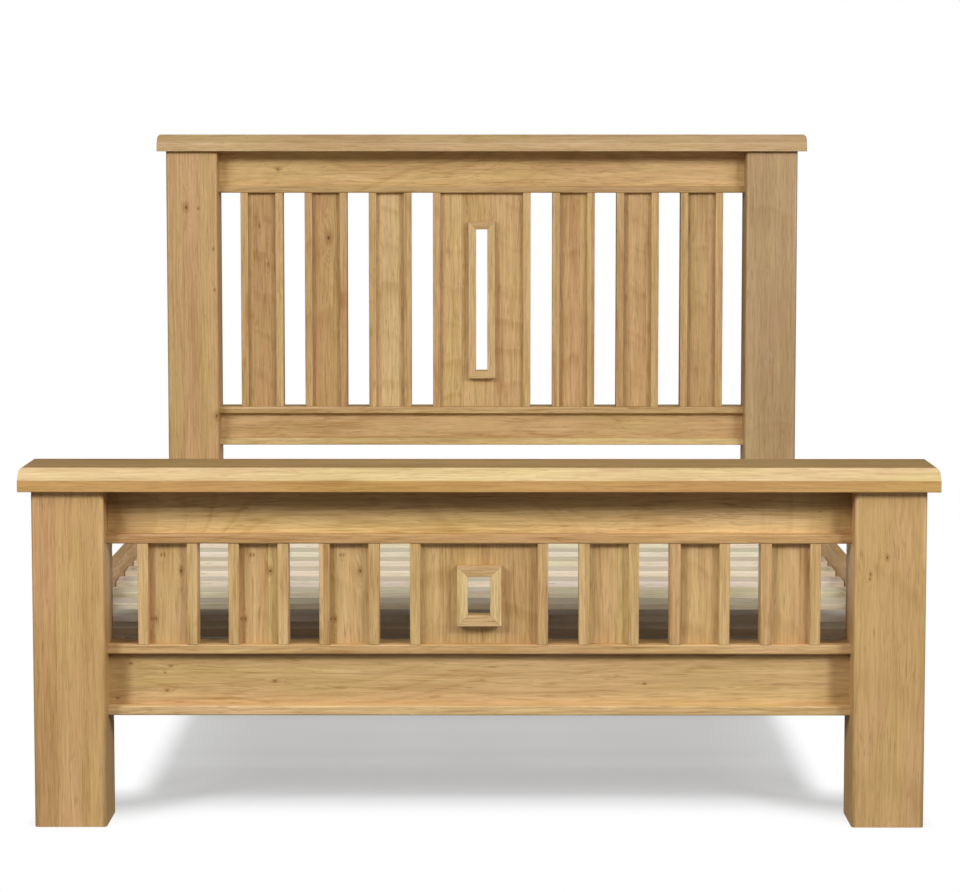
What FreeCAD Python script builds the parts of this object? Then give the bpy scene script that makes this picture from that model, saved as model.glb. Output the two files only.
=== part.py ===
import FreeCAD, Part
import math
import os
import re

import Sketcher

# Panel bed in solid oak with pine slats, in millimetres.
#
# +X is the sleeper's left-to-right axis seen from the foot, +Y runs from the footboard to the
# headboard and +Z is up. The origin is on the floor, under the centre of the bed. Each end of the
# bed is built in its own end frame: x across the bed from its centre line, y back from the front
# face of the posts, z up from the floor. The placements then set that frame at the foot or the head.

# ---------------------------------------------------------------- driving dimensions

SIZES = {
    # what the bed is made to hold
    "mattress_width": 1500,
    "mattress_length": 2000,
    "mattress_side_gap": 18,
    "mattress_end_gap": 10,
    # posts
    "post_width": 134,
    "post_depth": 120,
    "post_round": 9,
    "rail_inset": 74,
    # caps on top of both ends
    "head_height": 1300,
    "foot_height": 676,
    "cap_thickness": 44,
    "cap_bevel": 22,
    "cap_end_chamfer": 6,
    "cap_end_overhang": 22,
    "cap_front_overhang": 16,
    "cap_back_overhang": 24,
    "cap_tenon_margin": 32,
    "cap_tenon_length": 18,
    # cross rails of the ends
    "bead_setback": 36,
    "bead_proud": 18,
    "bead_height": 18,
    "bead_round": 3,
    "rail_thickness": 45,
    "rail_tenon_length": 40,
    "rail_tenon_thickness": 15,
    "rail_tenon_shoulder": 14,
    "head_top_rail_height": 109,
    "foot_top_rail_height": 103,
    "head_lower_rail_top": 581,
    "head_lower_rail_height": 102,
    "foot_lower_rail_top": 339,
    "foot_lower_rail_height": 134,
    # upright slats and centre panels of the ends
    "slats_each_side": 3,
    "slat_width": 112,
    "panel_width": 258,
    "strip_width": 20,
    "strip_depth": 46,
    "strip_round": 2,
    "board_thickness": 16,
    "board_recess": 15,
    "groove_depth": 8,
    "tongue_thickness": 8,
    "tongue_length": 12,
    "tongue_shoulder": 6,
    # windows in the centre panels and the frames round them
    "head_window_width": 30,
    "head_window_height": 374,
    "foot_window_width": 42,
    "foot_window_height": 73,
    "foot_window_drop": 3,
    "frame_member": 20,
    "frame_proud": 20,
    # side rails
    "side_rail_thickness": 22,
    "side_rail_height": 180,
    "side_rail_top": 390,
    # slat base
    "bed_slat_count": 15,
    "bed_slat_width": 70,
    "bed_slat_thickness": 18,
    "bed_slat_top": 354,
    "bed_slat_end_gap": 10,
    "bed_slat_side_gap": 2,
    "bed_slat_round": 2,
    "bearer_side": 30,
    "bearer_end_gap": 5,
    "bearer_screw_count": 7,
    "centre_rail_width": 45,
    "centre_rail_height": 95,
    "centre_leg_side": 45,
    # metal and plastic fittings
    "joint_gap": 0.2,
    "stud_radius": 4,
    "stud_hold": 35,
    "stud_reach": 42,
    "stud_spread": 90,
    "stud_hole_gap": 0.5,
    "pocket_distance": 26,
    "pocket_length": 26,
    "pocket_height": 32,
    "pocket_floor": 4,
    "washer_radius": 13,
    "washer_thickness": 3,
    "nut_radius": 7.5,
    "nut_thickness": 6.5,
    "screw_radius": 2.5,
    "screw_length": 40,
    "screw_head_radius": 4.8,
    "screw_head_height": 2.8,
    "bracket_thickness": 2,
    "bracket_seat": 40,
    "bracket_flange": 26,
    "glide_radius": 15,
    "glide_thickness": 5,
    "glide_proud": 1.5,
}

# Sizes that follow from the driving ones. Each is an expression of sheet cells and of the others.
DERIVED = {
    "rail_inner": "mattress_width / 2 + mattress_side_gap",
    "rail_centre": "rail_inner + side_rail_thickness / 2",
    "post_inner": "rail_inner - rail_inset",
    "post_centre": "post_inner + post_width / 2",
    "post_outer": "post_inner + post_width",
    "cap_half": "post_outer + cap_end_overhang",
    "cap_depth": "cap_front_overhang + post_depth + cap_back_overhang",
    "rail_span": "mattress_length + mattress_end_gap",
    "end_pitch": "rail_span + post_depth",
    "foot_y": "cap_front_overhang - (cap_depth + end_pitch) / 2",
    "head_y": "foot_y + end_pitch",
    "rail_foot_y": "foot_y + post_depth",
    "rail_head_y": "head_y",
    "head_post_top": "head_height - cap_thickness",
    "foot_post_top": "foot_height - cap_thickness",
    "head_top_rail_bottom": "head_post_top - head_top_rail_height",
    "foot_top_rail_bottom": "foot_post_top - foot_top_rail_height",
    "head_lower_rail_bottom": "head_lower_rail_top - head_lower_rail_height",
    "foot_lower_rail_bottom": "foot_lower_rail_top - foot_lower_rail_height",
    "head_window_centre": "(head_lower_rail_top + head_top_rail_bottom) / 2",
    "foot_window_centre": "(foot_lower_rail_top + foot_top_rail_bottom) / 2 - foot_window_drop",
    "rail_face": "bead_setback + bead_proud",
    "rail_back": "rail_face + rail_thickness",
    "tenon_front": "rail_face + (rail_thickness - rail_tenon_thickness) / 2",
    "board_front": "bead_setback + board_recess",
    "tongue_front": "board_front + (board_thickness - tongue_thickness) / 2",
    "slat_gap": "(2 * post_inner - 2 * slats_each_side * slat_width - panel_width)"
    " / (2 * slats_each_side + 2)",
    "slat_pitch": "slat_width + slat_gap",
    "stud_height": "side_rail_top - side_rail_height / 2",
    "base_top": "bed_slat_top - bed_slat_thickness",
    "bed_slat_half": "rail_inner - bed_slat_side_gap",
    "bed_slat_pitch": "(rail_span - 2 * bed_slat_end_gap - bed_slat_width) / (bed_slat_count - 1)",
    "bed_slat_foot_y": "rail_foot_y + bed_slat_end_gap",
    "slat_screw_x": "rail_inner - bearer_side / 2",
    "bearer_length": "rail_span - 2 * bearer_end_gap",
    "bearer_screw_pitch": "bearer_length / bearer_screw_count",
    "centre_rail_foot_y": "foot_y + rail_back + bracket_thickness",
    "centre_rail_head_y": "head_y + rail_face - bracket_thickness",
    "centre_rail_length": "centre_rail_head_y - centre_rail_foot_y",
    "centre_rail_bottom": "base_top - centre_rail_height",
    "bracket_wing": "centre_rail_width / 2 + bracket_thickness + bracket_flange",
    "bracket_screw_x": "bracket_wing - bracket_flange / 2",
    "bracket_screw_spread": "centre_rail_height / 2",
    "glide_recess": "glide_thickness - glide_proud",
}

ENDS = ("head", "foot")
ZERO = ("0", "0", "0")
INTO_POST = {"head": "+Y", "foot": "-Y"}
INTO_RAIL = {"head": "+Y", "foot": "-Y"}
SIDES = {"left": -1, "right": 1}
UPRIGHT_FACE = {"head": "0", "foot": "post_depth"}  # the post face that takes the side rail
TURNS = {
    "+X": FreeCAD.Rotation(FreeCAD.Vector(0, 1, 0), 90),
    "-X": FreeCAD.Rotation(FreeCAD.Vector(0, 1, 0), -90),
    "+Y": FreeCAD.Rotation(FreeCAD.Vector(1, 0, 0), -90),
    "-Y": FreeCAD.Rotation(FreeCAD.Vector(1, 0, 0), 90),
    "+Z": FreeCAD.Rotation(),
    "-Z": FreeCAD.Rotation(FreeCAD.Vector(1, 0, 0), 180),
}

doc = FreeCAD.newDocument("PanelBed")
sheet = doc.addObject("Spreadsheet::Sheet", "Sizes")
for row, (alias, size) in enumerate(SIZES.items(), start=1):
    sheet.set(f"A{row}", alias.replace("_", " "))
    sheet.set(f"B{row}", str(size))
    sheet.setAlias(f"B{row}", alias)
doc.recompute()

nodes = []


# ---------------------------------------------------------------- helpers


def formula(text):
    """Writes an expression of size names as one of sheet cells."""

    def cell(match):
        word = match.group(0)
        if word in DERIVED:
            return "(" + formula(DERIVED[word]) + ")"
        return "Sizes." + word

    return re.sub(r"[a-z_]+", cell, str(text))


def bind(item, prop, text):
    item.setExpression(prop, formula(text))


def place(item, spot, turn="+Z"):
    """Puts an item at a spot of three expressions, its own +Z turned to the given axis."""
    item.Placement = FreeCAD.Placement(FreeCAD.Vector(), TURNS[turn])
    for axis, text in zip("xyz", spot):
        bind(item, "Placement.Base." + axis, text)


def new_body(label, spot=("0", "0", "0")):
    body = doc.addObject("PartDesign::Body", label)
    body.Label = label
    place(body, spot)
    return body


def keep(item):
    """Counts an object as one of the bed's nodes."""
    nodes.append(item)
    return item


def box(body, kind, name, size, corner):
    """Adds or cuts a box: kind is Additive or Subtractive, size and corner are expressions."""
    feature = body.newObject(f"PartDesign::{kind}Box", name)
    for prop, text in zip(("Length", "Width", "Height"), size):
        bind(feature, prop, text)
    place(feature, corner)
    return feature


def hole(body, name, radius, depth, start, axis):
    """Cuts a round hole from start along an axis."""
    feature = body.newObject("PartDesign::SubtractiveCylinder", name)
    bind(feature, "Radius", radius)
    bind(feature, "Height", depth)
    place(feature, start, axis)


def countersink(body, name, start, axis):
    """Cuts the seat of a screw head whose top is flush with the surface at start."""
    feature = body.newObject("PartDesign::SubtractiveCone", name)
    bind(feature, "Radius1", "screw_head_radius")
    bind(feature, "Radius2", "screw_radius")
    bind(feature, "Height", "screw_head_height")
    place(feature, start, axis)


def long_edges(feature, axis, wanted=None):
    """Names a feature's straight edges that run along an axis, and of these the wanted ones."""
    names = []
    for number, edge in enumerate(feature.Shape.Edges, start=1):
        if not isinstance(edge.Curve, Part.Line):
            continue
        along = abs(getattr(edge.tangentAt(edge.FirstParameter), axis))
        if along > 0.999 and (wanted is None or wanted(edge.CenterOfMass)):
            names.append(f"Edge{number}")
    return names


def round_over(body, axis, radius, wanted=None):
    """Rounds the edges of the body's last feature that run along an axis."""
    base = body.Tip
    base.recompute()
    feature = body.newObject("PartDesign::Fillet", "arris")
    feature.Base = (base, long_edges(base, axis, wanted))
    bind(feature, "Radius", radius)
    return feature


def origin_plane(body, role):
    return next(plane for plane in body.Origin.OriginFeatures if plane.Role == role)


def outline(body, name, role, points):
    """Draws a closed outline on a plane of the body, each corner held at its two expressions.

    The corners are listed anticlockwise. They start on a circle and the constraints move them.
    """
    sketch = body.newObject("Sketcher::SketchObject", name)
    sketch.AttachmentSupport = (origin_plane(body, role), [""])
    sketch.MapMode = "FlatFace"
    count = len(points)
    turns = [2 * math.pi * i / count for i in range(count)]
    start = [FreeCAD.Vector(100 * math.cos(turn), 100 * math.sin(turn), 0) for turn in turns]
    for i in range(count):
        sketch.addGeometry(Part.LineSegment(start[i], start[(i + 1) % count]), False)
    for i in range(count):
        sketch.addConstraint(Sketcher.Constraint("Coincident", i, 2, (i + 1) % count, 1))
    for i, point in enumerate(points):
        now = (start[i].x, start[i].y)
        for kind, text, value in zip(("DistanceX", "DistanceY"), point, now):
            number = sketch.addConstraint(Sketcher.Constraint(kind, -1, 1, i, 1, value))
            bind(sketch, f"Constraints[{number}]", text)
    return sketch


def pad(body, sketch, length, midplane=False):
    feature = body.newObject("PartDesign::Pad", "length")
    feature.Profile = sketch
    bind(feature, "Length", length)
    feature.Midplane = midplane
    return feature


def group(label, members):
    """Joins identical separate pieces into one node, each still a solid of its own."""
    compound = doc.addObject("Part::Compound", label)
    compound.Label = label
    compound.Links = members
    return keep(compound)


def count_of(alias):
    return int(sheet.get(alias))


def solid(kind, label, sizes, spot, turn="+Z"):
    """Makes a Part primitive whose sizes are expressions."""
    item = doc.addObject("Part::" + kind, label)
    for prop, text in sizes.items():
        bind(item, prop, text)
    place(item, spot, turn)
    return item


def joined(label, members):
    item = doc.addObject("Part::MultiFuse", label)
    item.Shapes = members
    return item


def cut_away(label, base, tool):
    item = doc.addObject("Part::Cut", label)
    item.Base = base
    item.Tool = tool
    return item


# ---------------------------------------------------------------- where things stand

SLATS = count_of("slats_each_side")
BED_SLATS = count_of("bed_slat_count")


def upright_centres():
    """Lists each end's uprights from left to right: name, centre and width as expressions."""
    found = []
    for i in range(2 * SLATS + 1):
        step = i - SLATS
        if step == 0:
            found.append(("panel", "0", "panel_width"))
            continue
        side = 1 if step > 0 else -1
        first = "panel_width / 2 + slat_gap + slat_width / 2"
        centre = f"{side} * ({first} + {abs(step) - 1} * slat_pitch)"
        number = i + 1 if step < 0 else i
        found.append((f"slat_{number}", centre, "slat_width"))
    return found


UPRIGHTS = upright_centres()
BOARD_WIDTH = "({width} - 2 * strip_width + 2 * groove_depth - 2 * joint_gap)"
TONGUE_WIDTH = "({width} - 2 * strip_width + 2 * groove_depth - 2 * tongue_shoulder)"
CROSS_RAILS = {
    # end: (name, bottom, height, edge that takes the uprights' tongues)
    "head": [
        ("head_top_rail", "head_top_rail_bottom", "head_top_rail_height", "bottom"),
        ("head_lower_rail", "head_lower_rail_bottom", "head_lower_rail_height", "top"),
        ("head_tie_rail", "foot_lower_rail_bottom", "foot_lower_rail_height", "none"),
    ],
    "foot": [
        ("foot_top_rail", "foot_top_rail_bottom", "foot_top_rail_height", "bottom"),
        ("foot_lower_rail", "foot_lower_rail_bottom", "foot_lower_rail_height", "top"),
    ],
}
STUD_HEIGHTS = ("stud_height - stud_spread / 2", "stud_height + stud_spread / 2")
BRACKET_LEVEL = "centre_rail_bottom + centre_rail_height / 2"
BRACKET_SCREWS = [
    (f"{across} * bracket_screw_x", f"{BRACKET_LEVEL} + {up} * bracket_screw_spread / 2")
    for across in (-1, 1)
    for up in (-1, 1)
]


def slat_middle(step):
    """Gives the y of the middle of a bed slat, counted from 0 at the foot; halves lie in a gap."""
    return f"(bed_slat_foot_y + bed_slat_width / 2 + {step} * bed_slat_pitch)"


BEARER_SCREWS = [slat_middle(step + 0.5) for step in range(0, BED_SLATS - 1, 2)]
SLAT_SCREWS = [slat_middle(step) for step in range(BED_SLATS)]


# ---------------------------------------------------------------- posts and caps


def make_post(end, side):
    """A square post with a stub tenon on top, rail mortises, stud holes and a glide seat."""
    sign = SIDES[side]
    body = new_body(f"{end}_post_{side}", (f"{sign} * post_centre", f"{end}_y", "0"))
    top = f"{end}_post_top"
    stock = ("post_width", "post_depth", f"{top} - glide_proud")
    box(body, "Additive", "stock", stock, ("-post_width / 2", "0", "glide_proud"))
    round_over(body, "z", "post_round")
    tenon = ("post_width - 2 * cap_tenon_margin", "post_depth - 2 * cap_tenon_margin")
    corner = ("cap_tenon_margin - post_width / 2", "cap_tenon_margin", top)
    box(body, "Additive", "cap_tenon", (*tenon, "cap_tenon_length"), corner)
    depth = "(rail_tenon_length + joint_gap)"
    edge = "-post_width / 2" if sign > 0 else f"post_width / 2 - {depth}"
    for name, bottom, height, _ in CROSS_RAILS[end]:
        size = (
            depth,
            "rail_tenon_thickness + 2 * joint_gap",
            f"{height} - 2 * rail_tenon_shoulder + 2 * joint_gap",
        )
        low = f"{bottom} + rail_tenon_shoulder - joint_gap"
        box(body, "Subtractive", f"mortise_{name}", size, (edge, "tenon_front - joint_gap", low))
    across = f"{sign} * (rail_centre - post_centre)"
    for level in STUD_HEIGHTS:
        start = (across, UPRIGHT_FACE[end], level)
        depth = "stud_hold + joint_gap"
        hole(body, "stud_hole", "stud_radius + joint_gap / 2", depth, start, INTO_POST[end])
    start = ("0", "post_depth / 2", "glide_proud")
    hole(body, "glide_seat", "glide_radius + joint_gap", "glide_recess", start, "+Z")
    keep(body)


def make_cap(end):
    """The board on top of an end: bevelled along the front, its ends eased, resting on tenons."""
    body = new_body(f"{end}_cap", ("0", f"{end}_y", "0"))
    top = f"{end}_height"
    under = f"{end}_post_top"
    front = "-cap_front_overhang"
    back = "post_depth + cap_back_overhang"
    corners = [
        (front, under),
        (back, under),
        (back, top),
        (f"{front} + cap_bevel", top),
        (front, f"{top} - cap_bevel"),
    ]
    profile = outline(body, "profile", "YZ_Plane", corners)
    pad(body, profile, "2 * cap_half", midplane=True)
    doc.recompute()
    stock = body.Tip
    high = max(vertex.Z for vertex in stock.Shape.Vertexes)
    ends = long_edges(stock, "y", lambda middle: abs(middle.z - high) < 0.01)
    eased = body.newObject("PartDesign::Chamfer", "eased_ends")
    eased.Base = (stock, ends)
    bind(eased, "Size", "cap_end_chamfer")
    for sign in SIDES.values():
        size = (
            "post_width - 2 * cap_tenon_margin + 2 * joint_gap",
            "post_depth - 2 * cap_tenon_margin + 2 * joint_gap",
            "cap_tenon_length + joint_gap",
        )
        across = f"{sign} * post_centre - post_width / 2 + cap_tenon_margin - joint_gap"
        box(body, "Subtractive", "mortise", size, (across, "cap_tenon_margin - joint_gap", under))
    keep(body)


# ---------------------------------------------------------------- cross rails and beads


def make_cross_rail(end, name, bottom, height, edge):
    """A rail tenoned between the posts, mortised along one edge for the uprights' tongues."""
    body = new_body(name, ("0", f"{end}_y", bottom))
    stock = ("2 * post_inner", "rail_thickness", height)
    box(body, "Additive", "stock", stock, ("-post_inner", "rail_face", "0"))
    tall = f"{height} - 2 * rail_tenon_shoulder"
    for start in ("-post_inner - rail_tenon_length", "post_inner"):
        size = ("rail_tenon_length", "rail_tenon_thickness", tall)
        box(body, "Additive", "tenon", size, (start, "tenon_front", "rail_tenon_shoulder"))
    if edge != "none":
        for piece, centre, width in UPRIGHTS:
            wide = TONGUE_WIDTH.format(width=width)
            size = (
                f"{wide} + 2 * joint_gap",
                "tongue_thickness + 2 * joint_gap",
                "tongue_length + joint_gap",
            )
            low = "0" if edge == "bottom" else f"{height} - tongue_length - joint_gap"
            corner = (f"{centre} - {wide} / 2 - joint_gap", "tongue_front - joint_gap", low)
            box(body, "Subtractive", f"mortise_{piece}", size, corner)
    if name in ("foot_lower_rail", "head_tie_rail"):
        face = "rail_back" if end == "foot" else "rail_face"
        for across, level in BRACKET_SCREWS:
            start = (across, face, f"{level} - {bottom}")
            depth = "screw_length - bracket_thickness + joint_gap"
            hole(body, "screw_hole", "screw_radius + joint_gap / 2", depth, start, INTO_RAIL[end])
    keep(body)


def make_bead(end, label, bottom):
    """A proud strip along the front of a rail, its two front arrises rounded."""
    body = new_body(label, ("0", f"{end}_y", bottom))
    size = ("2 * post_inner", "bead_proud", "bead_height")
    box(body, "Additive", "stock", size, ("-post_inner", "bead_setback", "0"))
    body.Tip.recompute()
    front = min(vertex.Y for vertex in body.Tip.Shape.Vertexes)
    round_over(body, "x", "bead_round", lambda middle: abs(middle.y - front) < 0.01)
    return body


def make_beads(end):
    keep(make_bead(end, f"{end}_top_rail_bead", f"{end}_top_rail_bottom"))
    high = make_bead(end, f"{end}_upper_bead", f"{end}_lower_rail_top - bead_height")
    low = make_bead(end, f"{end}_base_bead", f"{end}_lower_rail_bottom")
    group(f"{end}_lower_rail_beads", [high, low])


# ---------------------------------------------------------------- uprights of both ends


def make_board(end, name, centre, width):
    """The board of a slat or panel: tongues up and down, a window through the centre panel."""
    body = new_body(f"{end}_{name}", (centre, f"{end}_y", f"{end}_lower_rail_top"))
    tall = f"({end}_top_rail_bottom - {end}_lower_rail_top)"
    wide = BOARD_WIDTH.format(width=width)
    size = (wide, "board_thickness", tall)
    box(body, "Additive", "stock", size, (f"-{wide} / 2", "board_front", "0"))
    tongue = TONGUE_WIDTH.format(width=width)
    size = (tongue, "tongue_thickness", f"{tall} + 2 * tongue_length")
    box(body, "Additive", "tongues", size, (f"-{tongue} / 2", "tongue_front", "-tongue_length"))
    if name == "panel":
        opening = (f"{end}_window_width", "board_thickness", f"{end}_window_height")
        low = f"{end}_window_centre - {end}_window_height / 2 - {end}_lower_rail_top"
        corner = (f"-{end}_window_width / 2", "board_front", low)
        box(body, "Subtractive", "window", opening, corner)
    keep(body)


def make_strip(end, name, centre, width, sign):
    """An edge strip, grooved for its board and rounded on its two front arrises."""
    across = f"{centre} + {sign} * ({width} - strip_width) / 2"
    body = new_body(f"{end}_{name}_strip", (across, f"{end}_y", f"{end}_lower_rail_top"))
    tall = f"({end}_top_rail_bottom - {end}_lower_rail_top)"
    size = ("strip_width", "strip_depth", tall)
    box(body, "Additive", "stock", size, ("-strip_width / 2", "bead_setback", "0"))
    body.Tip.recompute()
    front = min(vertex.Y for vertex in body.Tip.Shape.Vertexes)
    round_over(body, "z", "strip_round", lambda middle: abs(middle.y - front) < 0.01)
    size = ("groove_depth", "board_thickness + 2 * joint_gap", tall)
    edge = "-strip_width / 2" if sign > 0 else "strip_width / 2 - groove_depth"
    box(body, "Subtractive", "groove", size, (edge, "board_front - joint_gap", "0"))
    return body


def make_window_frame(end):
    """Four mitred strips round the window, planted on the front of the centre panel."""
    members = []
    half_wide = f"{end}_window_width / 2"
    half_tall = f"{end}_window_height / 2"
    for name, along, across in (("side", half_tall, half_wide), ("rung", half_wide, half_tall)):
        for sign in (-1, 1):
            spot = ("0", f"{end}_y + board_front", f"{end}_window_centre")
            body = new_body(f"{end}_frame_{name}", spot)
            inner = (across, along)
            outer = (f"{across} + frame_member", f"{along} + frame_member")
            near = (f"{sign} * ({inner[0]})", f"{sign} * ({inner[1]})")
            far = (f"{sign} * ({outer[0]})", f"{sign} * ({outer[1]})")
            corners = [
                (near[0], f"-({near[1]})"),
                (far[0], f"-({far[1]})"),
                (far[0], far[1]),
                (near[0], near[1]),
            ]
            if name == "rung":
                corners = [(second, first) for first, second in reversed(corners)]
            profile = outline(body, "profile", "XZ_Plane", corners)
            pad(body, profile, "frame_proud")
            members.append(body)
    group(f"{end}_window_frame", members)


# ---------------------------------------------------------------- side rails and slat base


def make_side_rail(side):
    """A side rail drilled from both ends, pocketed inside for the nuts and drilled for screws."""
    sign = SIDES[side]
    bottom = "side_rail_top - side_rail_height"
    body = new_body(f"side_rail_{side}", (f"{sign} * rail_centre", "rail_foot_y", bottom))
    size = ("side_rail_thickness", "rail_span", "side_rail_height")
    box(body, "Additive", "stock", size, ("-side_rail_thickness / 2", "0", "0"))
    deep = "side_rail_thickness - pocket_floor"
    inner = "-side_rail_thickness / 2"
    edge = inner if sign > 0 else f"{inner} + pocket_floor"
    for end in ENDS:
        near = "pocket_distance" if end == "foot" else "rail_span - pocket_distance - pocket_length"
        start = "0" if end == "foot" else "rail_span - pocket_distance"
        for level in STUD_HEIGHTS:
            low = f"{level} - ({bottom})"
            size = (deep, "pocket_length", "pocket_height")
            box(body, "Subtractive", "pocket", size, (edge, near, f"{low} - pocket_height / 2"))
            reach = "pocket_distance"
            wide = "stud_radius + stud_hole_gap"
            hole(body, "stud_hole", wide, reach, ("0", start, low), "+Y")
    face = f"-{sign} * side_rail_thickness / 2"
    outward = "+X" if sign > 0 else "-X"
    for along in BEARER_SCREWS:
        start = (face, f"{along} - rail_foot_y", f"base_top - bearer_side / 2 - ({bottom})")
        depth = "screw_length - bearer_side + joint_gap"
        hole(body, "screw_hole", "screw_radius + joint_gap / 2", depth, start, outward)
    keep(body)


def make_bearer(side):
    """A square bearer screwed inside the side rail, with a screw hole under each bed slat."""
    sign = SIDES[side]
    across = f"{sign} * slat_screw_x"
    spot = (across, "rail_foot_y + bearer_end_gap", "base_top - bearer_side")
    body = new_body(f"bearer_{side}", spot)
    size = ("bearer_side", "bearer_length", "bearer_side")
    box(body, "Additive", "stock", size, ("-bearer_side / 2", "0", "0"))
    outward = "+X" if sign > 0 else "-X"
    inner = f"-{sign} * bearer_side / 2"
    wide = "screw_radius + joint_gap / 2"
    for along in BEARER_SCREWS:
        start = (inner, f"{along} - rail_foot_y - bearer_end_gap", "bearer_side / 2")
        hole(body, "side_hole", wide, "bearer_side", start, outward)
        countersink(body, "side_seat", start, outward)
    for along in SLAT_SCREWS:
        start = ("0", f"{along} - rail_foot_y - bearer_end_gap", "bearer_side")
        depth = "screw_length - bed_slat_thickness + joint_gap"
        hole(body, "slat_hole", wide, depth, start, "-Z")
    keep(body)


def make_bed_slat(number):
    """A bed slat lying on the bearers and the centre rail, screwed at both ends."""
    along = SLAT_SCREWS[number]
    body = new_body(f"bed_slat_{number + 1:02d}", ("0", along, "base_top"))
    size = ("2 * bed_slat_half", "bed_slat_width", "bed_slat_thickness")
    box(body, "Additive", "stock", size, ("-bed_slat_half", "-bed_slat_width / 2", "0"))
    body.Tip.recompute()
    high = max(vertex.Z for vertex in body.Tip.Shape.Vertexes)
    round_over(body, "x", "bed_slat_round", lambda middle: abs(middle.z - high) < 0.01)
    for sign in SIDES.values():
        start = (f"{sign} * slat_screw_x", "0", "bed_slat_thickness")
        wide = "screw_radius + joint_gap / 2"
        hole(body, "screw_hole", wide, "bed_slat_thickness", start, "-Z")
        countersink(body, "screw_seat", start, "-Z")
    keep(body)


def make_centre_rail():
    """The rail under the middle of the slats, mortised below for its leg."""
    body = new_body("centre_rail", ("0", "centre_rail_foot_y", "centre_rail_bottom"))
    size = ("centre_rail_width", "centre_rail_length", "centre_rail_height")
    box(body, "Additive", "stock", size, ("-centre_rail_width / 2", "0", "0"))
    size = (
        "rail_tenon_thickness + 2 * joint_gap",
        "rail_tenon_thickness + 2 * joint_gap",
        "tongue_length + joint_gap",
    )
    middle = "rail_foot_y + rail_span / 2 - centre_rail_foot_y"
    corner = (
        "-rail_tenon_thickness / 2 - joint_gap",
        f"{middle} - rail_tenon_thickness / 2 - joint_gap",
        "0",
    )
    box(body, "Subtractive", "mortise", size, corner)
    keep(body)


def make_centre_leg():
    """The leg under the centre rail, with a stub tenon on top and a glide seat below."""
    body = new_body("centre_leg", ("0", "rail_foot_y + rail_span / 2", "0"))
    size = ("centre_leg_side", "centre_leg_side", "centre_rail_bottom - glide_proud")
    half = "-centre_leg_side / 2"
    box(body, "Additive", "stock", size, (half, half, "glide_proud"))
    size = ("rail_tenon_thickness", "rail_tenon_thickness", "tongue_length")
    half = "-rail_tenon_thickness / 2"
    box(body, "Additive", "tenon", size, (half, half, "centre_rail_bottom"))
    start = ("0", "0", "glide_proud")
    hole(body, "glide_seat", "glide_radius + joint_gap", "glide_recess", start, "+Z")
    keep(body)


# ---------------------------------------------------------------- metal and plastic fittings


def make_bracket(end):
    """A steel shoe that holds an end of the centre rail: plate, seat and two cheeks."""
    label = f"{end}_bracket"
    sign = 1 if end == "foot" else -1
    wall = "foot_y + rail_back" if end == "foot" else "head_y + rail_face"
    plate_y = wall if sign > 0 else f"{wall} - bracket_thickness"
    reach_y = wall if sign > 0 else f"{wall} - bracket_seat"
    low = "centre_rail_bottom - bracket_thickness"
    tall = "centre_rail_height + bracket_thickness"
    size = {"Length": "2 * bracket_wing", "Width": "bracket_thickness", "Height": tall}
    plate = solid("Box", f"{label}_plate", size, ("-bracket_wing", plate_y, low))
    half = "(centre_rail_width / 2 + bracket_thickness)"
    size = {"Length": f"2 * {half}", "Width": "bracket_seat", "Height": "bracket_thickness"}
    seat = solid("Box", f"{label}_seat", size, (f"-{half}", reach_y, low))
    cheeks = []
    for start in (f"-{half}", "centre_rail_width / 2"):
        size = {"Length": "bracket_thickness", "Width": "bracket_seat", "Height": tall}
        cheeks.append(solid("Box", f"{label}_cheek", size, (start, reach_y, low)))
    shoe = joined(f"{label}_shoe", [plate, seat, *cheeks])
    for across, level in BRACKET_SCREWS:
        size = {"Radius": "screw_radius + joint_gap / 2", "Height": "bracket_thickness"}
        drill = solid("Cylinder", f"{label}_drill", size, (across, plate_y, level), "+Y")
        shoe = cut_away(f"{label}_drilled", shoe, drill)
    return shoe


def make_screw(spot, turn, countersunk=True):
    """A wood screw whose head is flush with the wood, or stands on a steel plate."""
    size = {"Radius": "screw_radius", "Height": "screw_length"}
    shank = solid("Cylinder", "shank", size, ("0", "0", "0"))
    if countersunk:
        size = {
            "Radius1": "screw_head_radius",
            "Radius2": "screw_radius",
            "Height": "screw_head_height",
        }
        head = solid("Cone", "head", size, ("0", "0", "0"))
    else:
        size = {"Radius": "screw_head_radius", "Height": "screw_head_height"}
        head = solid("Cylinder", "head", size, ("0", "0", "-screw_head_height"))
    screw = joined("screw", [shank, head])
    place(screw, spot, turn)
    return screw


def make_screws():
    screws = []
    for sign in SIDES.values():
        outward = "+X" if sign > 0 else "-X"
        inner = f"{sign} * (rail_inner - bearer_side)"
        for along in BEARER_SCREWS:
            screws.append(make_screw((inner, along, "base_top - bearer_side / 2"), outward))
        for along in SLAT_SCREWS:
            screws.append(make_screw((f"{sign} * slat_screw_x", along, "bed_slat_top"), "-Z"))
    for across, level in BRACKET_SCREWS:
        screws.append(make_screw((across, "centre_rail_foot_y", level), "-Y", countersunk=False))
        screws.append(make_screw((across, "centre_rail_head_y", level), "+Y", countersunk=False))
    group("wood_screws", screws)


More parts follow.
